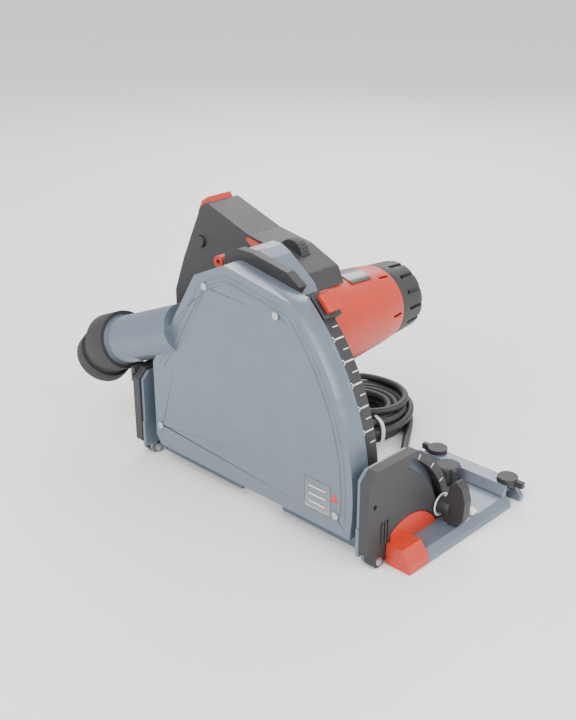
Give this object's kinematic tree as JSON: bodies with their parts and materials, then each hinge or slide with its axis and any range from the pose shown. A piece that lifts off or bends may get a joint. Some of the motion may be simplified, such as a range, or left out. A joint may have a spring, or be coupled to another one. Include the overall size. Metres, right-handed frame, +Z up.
{
  "type": "track plunge saw",
  "caption": "Corded plunge saw with a bevelling head, depth scale and stop, dust port, and a base grooved for a guide rail.",
  "frame": {"origin": "middle of the sole's length, on the middle glide strip, at the height of the surface it stands on", "axes": "+X forwards in the cutting direction, +Y from the guard towards the motor, +Z up"},
  "size_m": [0.4528, 0.29, 0.268],
  "materials": {
    "grey_enamel": "satin grey-blue enamel on a light-metal die casting",
    "black_plastic": "glass-filled polyamide, fine spark texture",
    "red_plastic": "moulded polyamide in signal red",
    "rubber": "black moulded rubber",
    "red_rubber": "red moulded rubber",
    "bright_steel": "turned and zinc-plated steel",
    "blade_steel": "ground saw steel with carbide teeth",
    "gear_steel": "hardened gear steel",
    "glide_film": "low-friction plastic film",
    "clear_plastic": "clear polycarbonate",
    "copper": "copper commutator bars",
    "carbon": "pressed carbon",
    "core_steel": "stacked core laminations with windings",
    "label_film": "blank printed film",
    "cord_rubber": "black rubber cord sheath"
  },
  "bodies": {
    "base": {"base_plate": "grey_enamel", "glide_strips": "glide_film", "front_segment": "black_plastic", "rear_segment": "black_plastic", "segment_screws": "bright_steel", "tilt_pins": "bright_steel", "front_insert": "red_plastic", "cord": "cord_rubber", "cord_coil": "cord_rubber", "mains_plug": "black_plastic"},
    "guide_knob": {"guide_clamp_knob": "black_plastic"},
    "rail_cam_front": {"rail_adjuster_front": "black_plastic"},
    "rail_cam_rear": {"rail_adjuster_rear": "black_plastic"},
    "head": {"tilt_frame": "grey_enamel", "guard_housing": "grey_enamel", "cover_screws": "bright_steel", "sight_window": "clear_plastic", "depth_scale": "black_plastic", "up_stop_buffer": "red_rubber", "plunge_shaft": "bright_steel", "return_spring": "bright_steel", "clamp_bolts": "bright_steel"},
    "bevel_lever_front": {"bevel_knob_front": "black_plastic"},
    "bevel_lever_rear": {"bevel_knob_rear": "black_plastic"},
    "boot": {"dust_boot": "rubber"},
    "stop": {"depth_stop": "black_plastic"},
    "stop_release": {"stop_button": "red_plastic"},
    "saw_unit": {"gear_case": "grey_enamel", "gear_cover": "grey_enamel", "riving_knife": "bright_steel", "knife_screws": "bright_steel", "spindle_bearings": "bright_steel", "motor_housing": "red_plastic", "motor_end_cap": "black_plastic", "housing_screws": "bright_steel", "stator": "core_steel", "carbon_brushes": "carbon", "armature_bearings": "bright_steel", "rating_plate": "label_film", "handle_shell_near": "black_plastic", "handle_shell_far": "black_plastic", "handle_screws": "bright_steel", "handle_trim": "red_plastic", "switch_module": "black_plastic", "cord_gland": "rubber"},
    "blade_unit": {"spindle": "bright_steel", "drive_gear": "gear_steel", "saw_blade": "blade_steel", "blade_flanges": "bright_steel", "blade_screw": "bright_steel"},
    "layshaft": {"intermediate_shaft": "gear_steel", "intermediate_gear": "gear_steel"},
    "armature": {"armature_shaft": "gear_steel", "armature_core": "core_steel", "commutator": "copper", "cooling_fan": "black_plastic"},
    "switch_trigger": {"trigger": "red_plastic"},
    "lock_off": {"release_button": "black_plastic"},
    "dial": {"speed_dial": "black_plastic"},
    "arbor_lock": {"spindle_lock": "bright_steel"}
  },
  "joints": [
    {"name": "head_tilt", "type": "hinge", "parent": "base", "child": "head", "pos_m": [0, -0.048, 0.007], "axis": [1, 0, 0], "range_deg": [-1, 48]},
    {"name": "plunge", "type": "hinge", "parent": "head", "child": "saw_unit", "pos_m": [-0.1085, -0.013, 0.055], "axis": [0, 1, 0], "range_deg": [0, 46.34], "stiffness_Nm_per_rad": 6, "springref_deg": -63.03},
    {"name": "blade_turn", "type": "hinge", "parent": "saw_unit", "child": "blade_unit", "pos_m": [-0.01754, -0.048, 0.10542], "axis": [0, 1, 0], "continuous": true},
    {"name": "layshaft_turn", "type": "hinge", "parent": "saw_unit", "child": "layshaft", "pos_m": [-0.01411, -0.018, 0.13334], "axis": [0, 1, 0], "continuous": true},
    {"name": "armature_turn", "type": "hinge", "parent": "saw_unit", "child": "armature", "pos_m": [-0.01061, 0.052, 0.16187], "axis": [0, 1, 0], "continuous": true},
    {"name": "bevel_lever_front_turn", "type": "hinge", "parent": "head", "child": "bevel_lever_front", "pos_m": [0.15, 0.03969, 0.02725], "axis": [1, 0, 0], "range_deg": [0, 75]},
    {"name": "bevel_lever_rear_turn", "type": "hinge", "parent": "head", "child": "bevel_lever_rear", "pos_m": [-0.18, 0.03969, 0.02725], "axis": [1, 0, 0], "range_deg": [0, 75]},
    {"name": "boot_turn", "type": "hinge", "parent": "head", "child": "boot", "pos_m": [-0.217, -0.042, 0.1095], "axis": [0.9239, 0, 0.3827], "continuous": true},
    {"name": "depth_stop_set", "type": "hinge", "parent": "head", "child": "stop", "pos_m": [-0.1085, -0.023, 0.055], "axis": [0, 1, 0], "range_deg": [0, 34.6]},
    {"name": "stop_release_press", "type": "slide", "parent": "stop", "child": "stop_release", "axis": [-0.712, 0, -0.7022], "range_m": [0, 0.0015], "stiffness_N_per_m": 300},
    {"name": "guide_knob_turn", "type": "hinge", "parent": "base", "child": "guide_knob", "pos_m": [0.1105, 0.098, 0.02], "axis": [0, 0, 1], "range_deg": [-180, 180]},
    {"name": "rail_cam_front_turn", "type": "hinge", "parent": "base", "child": "rail_cam_front", "pos_m": [0.16, 0.128, 0.02], "axis": [0, 0, 1], "range_deg": [0, 60]},
    {"name": "rail_cam_rear_turn", "type": "hinge", "parent": "base", "child": "rail_cam_rear", "pos_m": [0.076, 0.128, 0.02], "axis": [0, 0, 1], "range_deg": [-60, 0]},
    {"name": "trigger_pull", "type": "slide", "parent": "saw_unit", "child": "switch_trigger", "axis": [-1, 0, 0], "range_m": [0, 0.005], "stiffness_N_per_m": 400},
    {"name": "lock_off_press", "type": "slide", "parent": "saw_unit", "child": "lock_off", "axis": [0, 1, 0], "range_m": [0, 0.002], "stiffness_N_per_m": 500},
    {"name": "speed_dial_turn", "type": "hinge", "parent": "saw_unit", "child": "dial", "pos_m": [-0.036, 0.033, 0.229], "axis": [0, 1, 0], "range_deg": [0, 270]},
    {"name": "arbor_lock_press", "type": "slide", "parent": "saw_unit", "child": "arbor_lock", "axis": [-1, 0, 0], "range_m": [0, 0.003], "stiffness_N_per_m": 500}
  ],
  "couplings": [
    {"joint": "layshaft_turn", "follows": "blade_turn", "ratio": -1.5},
    {"joint": "armature_turn", "follows": "blade_turn", "ratio": 4.25}
  ]
}
